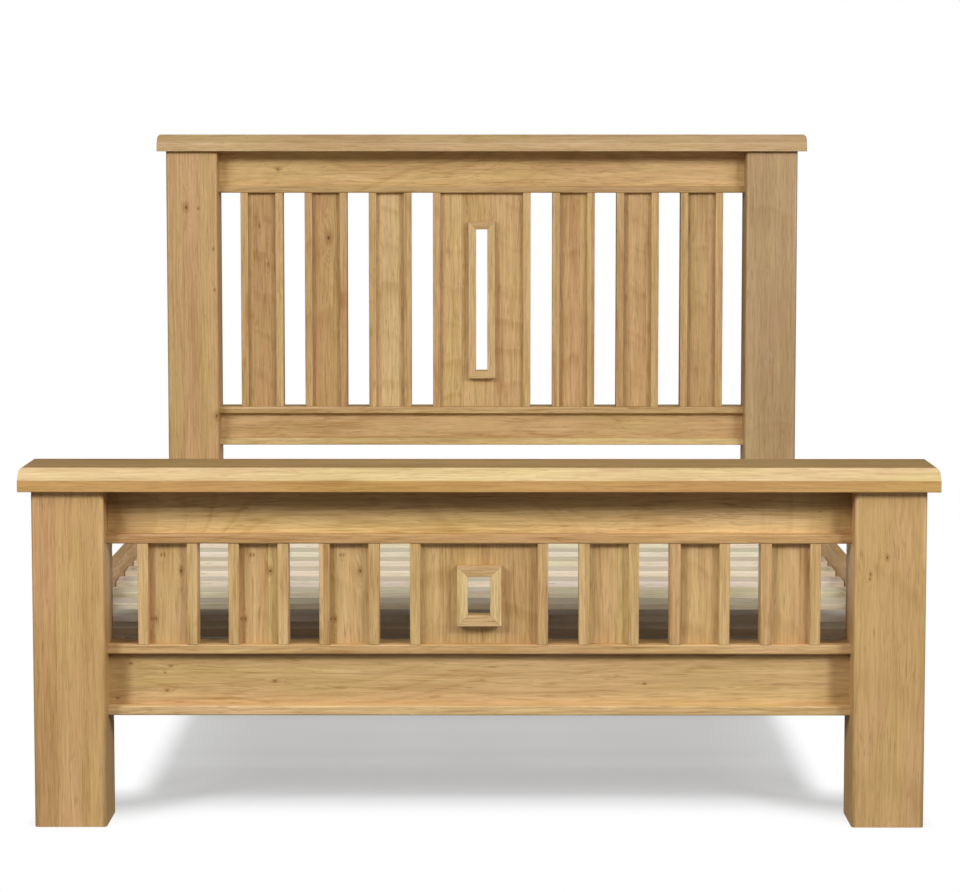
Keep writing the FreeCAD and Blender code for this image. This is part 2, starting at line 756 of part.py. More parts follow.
def make_corner_fittings():
    """Two studs at each corner, each with the washer and nut that pull the side rail home."""
    studs = []
    washers = []
    nuts = []
    for end in ENDS:
        for sign in SIDES.values():
            across = f"{sign} * rail_centre"
            joint = "rail_foot_y" if end == "foot" else "rail_head_y"
            away = 1 if end == "foot" else -1
            turn = "+Y" if away > 0 else "-Y"
            for level in STUD_HEIGHTS:
                start = f"{joint} - {away} * stud_hold"
                size = {"Radius": "stud_radius", "Height": "stud_hold + stud_reach"}
                studs.append(solid("Cylinder", "stud", size, (across, start, level), turn))
                seat = f"{joint} + {away} * pocket_distance"
                washers.append(make_washer(sign, (across, seat, level), turn))
                spot = (across, f"{seat} + {away} * washer_thickness", level)
                nuts.append(make_nut(spot, turn))
    group("rail_studs", studs)
    group("crescent_washers", washers)
    group("rail_nuts", nuts)


def make_washer(sign, spot, turn):
    """A round washer trimmed to pass into the pocket and drilled for its stud."""
    size = {"Radius": "washer_radius", "Height": "washer_thickness"}
    disc = solid("Cylinder", "disc", size, ("0", "0", "0"))
    size = {
        "Length": "side_rail_thickness - 2 * pocket_floor",
        "Width": "2 * washer_radius",
        "Height": "washer_thickness",
    }
    corner = ("pocket_floor - side_rail_thickness / 2", "-washer_radius", "0")
    window = solid("Box", "trim", size, corner)
    trimmed = doc.addObject("Part::Common", "trimmed")
    trimmed.Base = disc
    trimmed.Tool = window
    size = {"Radius": "stud_radius + stud_hole_gap", "Height": "washer_thickness"}
    drill = solid("Cylinder", "drill", size, ("0", "0", "0"))
    washer = cut_away("washer", trimmed, drill)
    place(washer, spot, turn)
    return washer


def make_nut(spot, turn):
    nut = solid("Prism", "hexagon", {"Circumradius": "nut_radius", "Height": "nut_thickness"}, ZERO)
    nut.Polygon = 6
    size = {"Radius": "stud_radius + joint_gap / 2", "Height": "nut_thickness"}
    drill = solid("Cylinder", "drill", size, ZERO)
    bored = cut_away("nut", nut, drill)
    place(bored, spot, turn)
    return bored


def make_glides():
    """A plastic disc let into the bottom of each post and of the centre leg."""
    spots = [("0", "rail_foot_y + rail_span / 2", "0")]
    for end in ENDS:
        for sign in SIDES.values():
            spots.append((f"{sign} * post_centre", f"{end}_y + post_depth / 2", "0"))
    size = {"Radius": "glide_radius", "Height": "glide_thickness"}
    group("floor_glides", [solid("Cylinder", "glide", size, spot) for spot in spots])


# ---------------------------------------------------------------- the bed


for end in ENDS:
    for side in SIDES:
        make_post(end, side)
    make_cap(end)
    for rail in CROSS_RAILS[end]:
        make_cross_rail(end, *rail)
    make_beads(end)
    for upright in UPRIGHTS:
        make_board(end, *upright)
    strips = [make_strip(end, *upright, sign) for upright in UPRIGHTS for sign in (-1, 1)]
    group(f"{end}_edge_strips", strips)
    make_window_frame(end)
for side in SIDES:
    make_side_rail(side)
    make_bearer(side)
for number in range(BED_SLATS):
    make_bed_slat(number)
make_centre_rail()
make_centre_leg()
make_glides()
make_corner_fittings()
make_screws()
group("centre_rail_brackets", [make_bracket(end) for end in ENDS])
doc.recompute()

# ---------------------------------------------------------------- checks and export

for item in doc.Objects:
    if {"Invalid", "Error"} & set(item.State):
        raise RuntimeError(f"{item.Label}: {item.State}")
    base = getattr(item, "BaseFeature", None)
    if base is not None and "Subtractive" in item.TypeId:
        if item.Shape.Volume >= base.Shape.Volume - 1:
            raise RuntimeError(f"{item.Label} in {item.getParentGeoFeatureGroup().Label} cuts nothing")
os.makedirs("parts", exist_ok=True)
for node in nodes:
    shape = node.Shape
    if shape.isNull() or not shape.isValid():
        raise RuntimeError(f"{node.Label} has no valid shape")
    shape.exportStep(f"parts/{node.Label}.step")
    print(f"{node.Label}: {len(shape.Solids)} solids, {shape.Volume / 1000:.1f} cm3")
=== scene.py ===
"""Dresses a panel bed of solid oak, with a slatted pine base, in a pale studio."""

import logging
import math
from dataclasses import dataclass, field, replace
from enum import Enum
from typing import Any

import bpy
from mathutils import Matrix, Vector

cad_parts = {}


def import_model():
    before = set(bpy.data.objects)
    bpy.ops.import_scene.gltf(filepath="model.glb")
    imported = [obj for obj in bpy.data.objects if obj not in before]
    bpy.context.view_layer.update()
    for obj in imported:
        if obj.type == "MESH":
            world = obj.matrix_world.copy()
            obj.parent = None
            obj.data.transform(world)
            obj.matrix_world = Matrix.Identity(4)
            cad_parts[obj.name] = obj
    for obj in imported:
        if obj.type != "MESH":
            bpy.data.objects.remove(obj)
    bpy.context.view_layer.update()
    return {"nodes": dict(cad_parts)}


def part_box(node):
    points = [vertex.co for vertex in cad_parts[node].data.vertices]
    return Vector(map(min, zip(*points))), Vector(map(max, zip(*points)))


LOG = logging.getLogger("panel_bed")
Pair = tuple[float, float]
Triple = tuple[float, float, float]
PLAIN = (1.0, 1.0, 1.0)
ORIGIN = (0.0, 0.0, 0.0)
FALLING = (1.0, 0.0)
# What a timber's figure hands to its finish.
FIGURE = ("Rings", "Streak", "Line", "Band", "Pores", "Tone", "Hue")
# How far along its log each board is sawn from the one before, in metres.
SEED_STEP = 1.37
# Where a board's first glue line falls, in staves, for even and for odd seeds.
STAVE_STARTS = (0.37, 0.5)


class Grain(Enum):
    """The way a board's grain runs, and the turn in degrees that lays it along x."""

    ACROSS = (0.0, 0.0, 0.0)
    ALONG = (0.0, 0.0, -90.0)
    FLAT = (90.0, 0.0, 0.0)
    UP = (0.0, 90.0, 0.0)

    def radians(self) -> Triple:
        """Gives the turn in radians."""
        turn = [math.radians(angle) for angle in self.value]
        return (turn[0], turn[1], turn[2])


class Ending(Enum):
    """Which end of the bed a piece belongs to."""

    HEAD = "head"
    FOOT = "foot"


class Measure(Enum):
    """What a layer is counted along: out from the bed's middle line, or up from the floor."""

    ASIDE = "aside"
    HEIGHT = "height"


# -------- node trees


class Wiring:
    """Adds nodes to one node tree and wires them together."""

    def __init__(self, tree: bpy.types.NodeTree) -> None:
        """Keeps the tree.

        Args:
            tree: The node tree that takes the nodes.
        """
        self.tree = tree

    def add(self, kind: str, feeds: dict[Any, Any] | None = None, **settings: Any) -> Any:
        """Adds a node.

        Args:
            kind: The node's type name.
            feeds: Input names or numbers, each with a socket to link or a value to set.
            settings: Properties of the node itself.

        Returns:
            The new node.
        """
        node = self.tree.nodes.new(kind)
        for name, value in settings.items():
            setattr(node, name, value)
        for key, value in (feeds or {}).items():
            self.feed(node.inputs[key], value)
        return node

    def feed(self, socket: Any, value: Any) -> None:
        """Links a socket to an input, or sets the input's value."""
        if isinstance(value, bpy.types.NodeSocket):
            self.tree.links.new(value, socket)
        else:
            socket.default_value = value

    def sums(self, operation: str, *terms: Any, clamp: bool = False) -> Any:
        """Does one sum on one, two or three values.

        Args:
            operation: The name of the sum.
            terms: Sockets or numbers.
            clamp: Whether the result is held between 0 and 1.

        Returns:
            The result's socket.
        """
        feeds = dict(enumerate(terms))
        node = self.add("ShaderNodeMath", feeds, operation=operation, use_clamp=clamp)
        return node.outputs[0]

    def centred(self, value: Any) -> Any:
        """Takes a half off a value, so that a noise swings about nothing."""
        return self.sums("SUBTRACT", value, 0.5)

    def reach(self, first: Any, second: Any) -> Any:
        """Gives the distance that two values at right angles make."""
        squares = [self.sums("POWER", term, 2.0) for term in (first, second)]
        return self.sums("SQRT", self.sums("ADD", *squares))

    def here(self) -> Any:
        """Gives the socket of the shaded point's place on its object."""
        return self.add("ShaderNodeTexCoord").outputs["Object"]

    def split(self, vector: Any) -> Any:
        """Parts a vector into the sockets of its x, y and z."""
        return self.add("ShaderNodeSeparateXYZ", {0: vector}).outputs

    def offset(self, place: Any, point: Any) -> Any:
        """Gives a place as it lies from a point."""
        node = self.add("ShaderNodeVectorMath", {0: place, 1: point}, operation="SUBTRACT")
        return node.outputs[0]

    def span(self, value: Any, low: float, high: float, to: tuple[Any, Any] = (0.0, 1.0)) -> Any:
        """Maps a range of values smoothly onto another.

        Args:
            value: The socket that is mapped.
            low: The value that gives the first of to.
            high: The value that gives the second of to.
            to: The two ends of the result.

        Returns:
            The result's socket.
        """
        feeds = {"Value": value, "From Min": low, "From Max": high, "To Min": to[0], "To Max": to[1]}
        node = self.add("ShaderNodeMapRange", feeds, interpolation_type="SMOOTHSTEP")
        return node.outputs["Result"]

    def noise(self, place: Any, scale: float, detail: float = 2.0, rough: float = 0.5) -> Any:
        """Samples a soft noise.

        Args:
            place: The vector socket to sample at.
            scale: Cells to the metre.
            detail: How many octaves.
            rough: How strong the finer octaves are.

        Returns:
            The noise's value socket.
        """
        feeds = {"Vector": place, "Scale": scale, "Detail": detail, "Roughness": rough}
        return self.add("ShaderNodeTexNoise", feeds).outputs["Fac"]

    def ripple(
        self, place: Any, cells: Triple, detail: float, rough: float = 0.5, shift: Triple = ORIGIN
    ) -> Any:
        """Samples a soft noise whose cells differ from axis to axis.

        Args:
            place: The vector socket to sample at.
            cells: Cells to the metre along each axis.
            detail: How many octaves.
            rough: How strong the finer octaves are.
            shift: What is added to the place after scaling.

        Returns:
            The noise's value socket.
        """
        return self.noise(self.stretch(place, cells, shift), 1.0, detail, rough)

    def stretch(self, place: Any, scale: Triple, shift: Triple = ORIGIN) -> Any:
        """Scales and shifts a vector.

        Args:
            place: The vector socket.
            scale: The scale of each axis.
            shift: What is added after scaling.

        Returns:
            The new vector's socket.
        """
        feeds = {"Vector": place, "Scale": scale, "Location": shift}
        return self.add("ShaderNodeMapping", feeds).outputs["Vector"]

    def blend(self, factor: Any, first: Any, second: Any, mode: str = "MIX") -> Any:
        """Mixes two colours.

        Args:
            factor: How much of the second.
            first: A colour or its socket.
            second: A colour or its socket.
            mode: The blending mode.

        Returns:
            The mixed colour's socket.
        """
        node = self.add("ShaderNodeMix", data_type="RGBA", blend_type=mode)
        for number, value in ((0, factor), (6, first), (7, second)):
            self.feed(node.inputs[number], value)
        return node.outputs[2]

    def bump(self, shader: Any, height: Any, strength: float, distance: float) -> None:
        """Gives a shader a fine relief.

        Args:
            shader: The shader that takes it.
            height: The height's socket.
            strength: How much of the relief is used.
            distance: How deep it is, in metres.
        """
        feeds = {"Height": height, "Strength": strength, "Distance": distance}
        self.feed(shader.inputs["Normal"], self.add("ShaderNodeBump", feeds).outputs[0])


class SharedGroup:
    """A shader node group that more than one material places, built once."""

    def __init__(self, name: str, takes: dict[str, str], gives: dict[str, str]) -> None:
        """Makes the group's sockets.

        Args:
            name: The group's name.
            takes: Input names, each with its socket type's last word.
            gives: Output names, each with its socket type's last word.
        """
        self.tree = bpy.data.node_groups.new(name, "ShaderNodeTree")
        for way, labels in (("INPUT", takes), ("OUTPUT", gives)):
            for label, word in labels.items():
                kind = "NodeSocket" + word
                self.tree.interface.new_socket(name=label, in_out=way, socket_type=kind)
        self.wiring = Wiring(self.tree)
        self.inside = self.tree.nodes.new("NodeGroupInput").outputs
        self.result = self.tree.nodes.new("NodeGroupOutput").inputs

    def give(self, **sockets: Any) -> None:
        """Links sockets to the group's outputs, by name with spaces as underscores."""
        for name, socket in sockets.items():
            self.wiring.feed(self.result[name.replace("_", " ")], socket)

    def place(self, wiring: Wiring, feeds: dict[str, Any]) -> Any:
        """Places the group in a material.

        Args:
            wiring: The material's wiring.
            feeds: Input names with sockets or values.

        Returns:
            The group node's outputs.
        """
        node = wiring.add("ShaderNodeGroup", node_tree=self.tree)
        for name, value in feeds.items():
            wiring.feed(node.inputs[name], value)
        return node.outputs


def floats(*labels: str) -> dict[str, str]:
    """Gives each label the word of a socket that takes a number."""
    return dict.fromkeys(labels, "Float")


def staves_group() -> SharedGroup:
    """Builds the group that splits a board into glued staves, each with its own timber.

    Returns:
        A group that gives each stave's shifted place, its tone and the glue line between staves.
    """
    takes = {"Place": "Vector"} | floats("Width", "Shift", "Seed", "Stray")
    group = SharedGroup("staves", takes, {"Place": "Vector"} | floats("Tone", "Seam"))
    w, given = group.wiring, group.inside
    next_board, farthest_along, glue_line = 7.31, 3.0, (0.0001, 0.0006)
    place = w.split(given["Place"])
    across = w.sums("DIVIDE", w.sums("ADD", place[2], given["Shift"]), given["Width"])
    number = w.sums("MULTIPLY_ADD", given["Seed"], next_board, w.sums("FLOOR", across))
    chance = w.add("ShaderNodeTexWhiteNoise", {"W": number}, noise_dimensions="1D")
    parts = w.add("ShaderNodeSeparateColor", {0: chance.outputs["Color"]}).outputs
    strays = [w.sums("MULTIPLY", parts[0], farthest_along)]
    for axis, spread in ((1, 0.06), (2, 0.12)):
        strays.append(w.sums("MULTIPLY_ADD", parts[axis], spread, -spread / 2))
    moved = {
        axis: w.sums("MULTIPLY_ADD", stray, given["Stray"], place[axis])
        for axis, stray in enumerate(strays)
    }
    combined = w.add("ShaderNodeCombineXYZ", moved).outputs[0]
    away = w.sums("MULTIPLY", w.sums("PINGPONG", across, 0.5), given["Width"])
    seam = w.span(away, *glue_line, FALLING)
    group.give(Place=combined, Tone=parts[0], Seam=seam)
    return group


def knot_group() -> SharedGroup:
    """Builds the group that sets a knot in a board.

    Returns:
        A group that gives the knot's dark core, its halo and how far it bends the rings.
    """
    takes = {"Place": "Vector", "Centre": "Vector", "Size": "Float"}
    group = SharedGroup("knot", takes, floats("Core", "Halo", "Bend"))
    w, given = group.wiring, group.inside
    size = given["Size"]
    core_rim, halo_rim, bend_rim = (0.35, 0.85), (0.7, 3.4), (0.4, 5.0)
    drawn_out, bend_drawn_out, ragged, bend_depth = 0.6, 0.45, 0.7, 2.4
    place = w.split(w.offset(given["Place"], given["Centre"]))
    long = w.sums("DIVIDE", w.sums("MULTIPLY", place[0], drawn_out), size)
    wide = w.sums("DIVIDE", place[2], size)
    rough = w.centred(w.noise(given["Place"], 700.0))
    reach = w.sums("MULTIPLY_ADD", rough, ragged, w.reach(long, wide))
    core = w.span(reach, *core_rim, FALLING)
    halo = w.span(reach, *halo_rim, FALLING)
    slow = w.reach(w.sums("MULTIPLY", long, bend_drawn_out), wide)
    depth = w.sums("MULTIPLY", size, bend_depth)
    bend = w.sums("MULTIPLY", w.span(slow, *bend_rim, FALLING), depth)
    group.give(Core=core, Halo=halo, Bend=bend)
    return group


def figure_group() -> SharedGroup:
    """Builds the group for the figure of sawn timber, with the grain along x.

    Returns:
        A group that gives the growth rings, the fibre, the pores and the slow change of tone.
    """
    takes = {"Place": "Vector", "Pith": "Vector"} | floats("Tilt", "Ring Width", "Wander", "Bend")
    group = SharedGroup("timber figure", takes, floats(*FIGURE))
    w, given = group.wiring, group.inside
    place, bend = given["Place"], given["Bend"]
    ring_shiver, fibre_shiver, vigour_pace = 0.0012, 0.012, 0.43
    summer, autumn, spring = (0.35, 0.84), (0.86, 0.98), (0.0, 0.5)
    sway = w.ripple(place, (1.6, 3.0, 3.0), 1.0)
    swing = w.ripple(place, (1.6, 3.0, 3.0), 1.0, shift=(7.1, 3.3, 1.7))
    shiver = w.centred(w.ripple(place, (6.0, 24.0, 24.0), 2.0, 0.55))
    parts = w.split(place)
    pith = w.split(given["Pith"])
    lean = w.sums("MULTIPLY", parts[0], given["Tilt"])
    sway = w.sums("MULTIPLY", w.centred(sway), given["Wander"])
    swing = w.sums("MULTIPLY", w.centred(swing), given["Wander"])
    deep = w.sums("ADD", w.sums("SUBTRACT", parts[1], pith[1]), w.sums("ADD", lean, sway))
    side = w.sums("ADD", w.sums("SUBTRACT", parts[2], pith[2]), swing)
    reach = w.sums("MULTIPLY_ADD", shiver, ring_shiver, w.reach(deep, side))
    years = w.sums("DIVIDE", w.sums("ADD", reach, bend), given["Ring Width"])
    year = w.sums("FRACT", years)
    rise = w.span(year, *summer)
    fall = w.span(year, *autumn, FALLING)
    feeds = {"W": w.sums("MULTIPLY", years, vigour_pace), "Detail": 1.0}
    vigour = w.add("ShaderNodeTexNoise", feeds, noise_dimensions="1D").outputs["Fac"]
    strength = w.span(vigour, 0.35, 0.68, (0.15, 1.0))
    rings = w.sums("MULTIPLY", w.sums("MULTIPLY", rise, fall), strength)
    deeper = w.sums("MULTIPLY_ADD", shiver, fibre_shiver, parts[1])
    wider = w.sums("ADD", w.sums("MULTIPLY_ADD", shiver, fibre_shiver, parts[2]), bend)
    fibre = w.add("ShaderNodeCombineXYZ", {0: parts[0], 1: deeper, 2: wider}).outputs[0]
    streak = w.ripple(fibre, (8.0, 230.0, 230.0), 3.0, 0.65)
    flow = w.ripple(fibre, (3.6, 70.0, 70.0), 2.0, shift=(2.0, 7.0, 4.0))
    away = w.sums("ABSOLUTE", w.sums("MULTIPLY_ADD", flow, 2.0, -1.0))
    line = w.span(away, 0.0, 0.07, FALLING)
    band = w.ripple(fibre, (1.8, 34.0, 34.0), 2.0, shift=(5.0, 2.0, 9.0))
    dash = w.ripple(fibre, (26.0, 620.0, 620.0), 1.0)
    early = w.span(year, *spring, (1.0, 0.35))
    pores = w.sums("MULTIPLY", w.span(dash, 0.57, 0.7), early)
    tone = w.ripple(place, (2.2, 10.0, 10.0), 2.0)
    hue = w.ripple(place, (3.0, 17.0, 17.0), 2.0, shift=(3.0, 1.0, 5.0))
    group.give(Rings=rings, Streak=streak, Line=line, Band=band, Pores=pores, Tone=tone, Hue=hue)
    return group


def finish_group() -> SharedGroup:
    """Builds the group that turns a timber's figure into its colour, gloss and relief.

    Returns:
        A group that gives the colour, the roughness and the height of a lacquered or bare board.
    """
    takes = dict.fromkeys(("Pale", "Deep", "Pore Shade"), "Vector") | floats(*FIGURE)
    takes |= floats("Stave", "Seam", "Ring Depth", "Contrast", "Gloss", "Core", "Halo")
    gives = {"Colour": "Color"} | floats("Roughness", "Height")
    group = SharedGroup("timber finish", takes, gives)
    w, given = group.wiring, group.inside
    mean_ring, mean_depth, line_depth, halo_depth = 0.25, 0.42, 0.25, 0.45
    stave_hue, heart_share, core_shade = 0.25, 0.55, 0.88
    greener, redder = (0.985, 1.005, 0.915, 1.0), (1.025, 0.985, 1.05, 1.0)
    knot_heart = (0.02, 0.01, 0.005, 1.0)
    pore_rough, fibre_rough, fibre_height = 0.2, 0.14, 0.6
    rings = w.sums("SUBTRACT", given["Rings"], mean_ring)
    depth = w.sums("MULTIPLY", rings, given["Ring Depth"])
    for part, weight in (("Streak", 1.35), ("Band", 0.7), ("Tone", 0.8), ("Stave", 0.3)):
        depth = w.sums("MULTIPLY_ADD", w.centred(given[part]), weight, depth)
    depth = w.sums("MULTIPLY_ADD", given["Line"], line_depth, depth)
    depth = w.sums("MULTIPLY_ADD", depth, given["Contrast"], mean_depth)
    depth = w.sums("MULTIPLY_ADD", given["Halo"], halo_depth, depth, clamp=True)
    colour = w.blend(depth, given["Pale"], given["Deep"])
    warm = w.span(w.sums("MULTIPLY_ADD", given["Stave"], stave_hue, given["Hue"]), 0.42, 0.84)
    colour = w.blend(1.0, colour, w.blend(warm, greener, redder), "MULTIPLY")
    for part, weight in (("Pores", 0.42), ("Seam", 0.3)):
        colour = w.blend(w.sums("MULTIPLY", given[part], weight), colour, given["Pore Shade"])
    dark = w.blend(heart_share, given["Pore Shade"], knot_heart)
    colour = w.blend(w.sums("MULTIPLY", given["Core"], core_shade), colour, dark)
    rough = w.sums("MULTIPLY_ADD", given["Pores"], pore_rough, given["Gloss"])
    rough = w.sums("MULTIPLY_ADD", w.centred(given["Streak"]), fibre_rough, rough)
    high = w.sums("MULTIPLY", given["Streak"], fibre_height)
    for part, weight in (("Pores", -0.7), ("Seam", -0.8), ("Core", -0.9), ("Rings", 0.25)):
        high = w.sums("MULTIPLY_ADD", given[part], weight, high)
    group.give(Colour=colour, Roughness=rough, Height=high)
    return group


# -------- finishes


@dataclass(frozen=True)
class Timber:
    """A species and its surface."""

    name: str
    pale: Triple
    deep: Triple
    pore_shade: Triple
    ring_width: float
    ring_depth: float
    contrast: float
    gloss: float
    coat: float
    relief: float


@dataclass(frozen=True)
class Layer:
    """A change of tone that sets in between two places on the bed and holds beyond, used here mostly
    for painted light and shade.
    """

    measure: Measure
    start: float
    stop: float
    tint: Triple


@dataclass(frozen=True)
class Cut:
    """How one board was sawn out of its log and glued up.

    pith is where the log's heart lies, depth then width, counted from the board's middle.
    lively and rings weigh the whole figure and the growth rings alone.
    A knot is its x and z on the bed, and its size; on a board that lies flat, z is
    counted across the board from its middle.
    """

    grain: Grain
    seed: int
    pith: Pair
    tilt: float
    stave: float
    wander: float = 0.012
    stray: float = 1.0
    lively: float = 1.0
    rings: float = 0.6
    tint: Triple = PLAIN
    knots: tuple[Triple, ...] = ()
    layers: tuple[Layer, ...] = ()


def whole(grain: Grain, seed: int, pith: Pair, tilt: float = 0.01, **sawn: Any) -> Cut:
    """Describes a board sawn in one piece, with no staves.

    Args:
        grain: The way its grain runs.
        seed: What sets its figure apart.
        pith: Where the log's heart lies.
        tilt: How far the log leans along the board.
        sawn: Whatever else a cut takes.

    Returns:
        The board's cut.
    """
    return Cut(grain, seed, pith, tilt, stave=0.3, stray=0.0, **sawn)


OAK = Timber(
    name="lacquered oak",
    pale=(0.72, 0.49, 0.235),
    deep=(0.38, 0.205, 0.064),
    pore_shade=(0.21, 0.10, 0.035),
    ring_width=0.0031,
    ring_depth=0.42,
    contrast=1.0,
    gloss=0.46,
    coat=0.12,
    relief=0.00022,
)
PINE = Timber(
    name="bare pine",
    pale=(0.93, 0.87, 0.73),
    deep=(0.73, 0.6, 0.42),
    pore_shade=(0.36, 0.22, 0.10),
    ring_width=0.0085,
    ring_depth=0.6,
    contrast=0.8,
    gloss=0.62,
    coat=0.0,
    relief=0.0002,
)


@dataclass(frozen=True)
class Metal:
    """Zinc-plated steel: pale, slightly mottled, with fine rolling marks."""

    name: str = "zinc plated steel"
    pale: Triple = (0.66, 0.67, 0.68)
    dull: Triple = (0.47, 0.48, 0.50)
    gloss: float = 0.34

    def build(self) -> bpy.types.Material:
        """Makes the material.

        Returns:
            The finished material.
        """
        material, wiring, shader = new_material(self.name)
        place = wiring.here()
        spangle = wiring.add("ShaderNodeTexVoronoi", {"Vector": place, "Scale": 260.0})
        cloud = wiring.sums("MULTIPLY", wiring.noise(place, 90.0, 3.0), 0.5)
        line = wiring.ripple(place, (40.0, 900.0, 900.0), 2.0)
        amount = wiring.sums("MULTIPLY_ADD", spangle.outputs["Distance"], 0.6, cloud)
        colour = wiring.blend(amount, (*self.pale, 1.0), (*self.dull, 1.0))
        rough = wiring.sums("MULTIPLY_ADD", line, 0.2, self.gloss)
        wiring.feed(shader.inputs["Base Color"], colour)
        wiring.feed(shader.inputs["Roughness"], rough)
        shader.inputs["Metallic"].default_value = 1.0
        wiring.bump(shader, line, 0.15, 0.0002)
        return material


@dataclass(frozen=True)
class Plastic:
    """Dark moulded plastic with a fine grained skin."""

    name: str = "glide plastic"
    base: Triple = (0.045, 0.038, 0.034)
    scuff: Triple = (0.12, 0.11, 0.10)

    def build(self) -> bpy.types.Material:
        """Makes the material.

        Returns:
            The finished material.
        """
        material, wiring, shader = new_material(self.name)
        place = wiring.here()
        skin = wiring.noise(place, 1500.0)
        scuffs = wiring.ripple(place, (60.0, 900.0, 200.0), 2.0)
        worn = wiring.span(scuffs, 0.55, 0.75, (0.0, 0.5))
        colour = wiring.blend(worn, (*self.base, 1.0), (*self.scuff, 1.0))
        wiring.feed(shader.inputs["Base Color"], colour)
        wiring.feed(shader.inputs["Roughness"], wiring.sums("MULTIPLY_ADD", skin, 0.2, 0.5))
        wiring.bump(shader, skin, 0.3, 0.0002)
        return material


def tinted(colour: Triple, tint: Triple) -> Triple:
    """Multiplies a colour by a tint."""
    return (colour[0] * tint[0], colour[1] * tint[1], colour[2] * tint[2])


def new_material(name: str) -> tuple[bpy.types.Material, Wiring, Any]:
    """Starts a material.

    Args:
        name: The material's name.

    Returns:
        The material, its wiring and its main shader.
    """
    material = bpy.data.materials.new(name)
    material.use_nodes = True
    wiring = Wiring(material.node_tree)
    shader = next(n for n in material.node_tree.nodes if n.type == "BSDF_PRINCIPLED")
    return material, wiring, shader


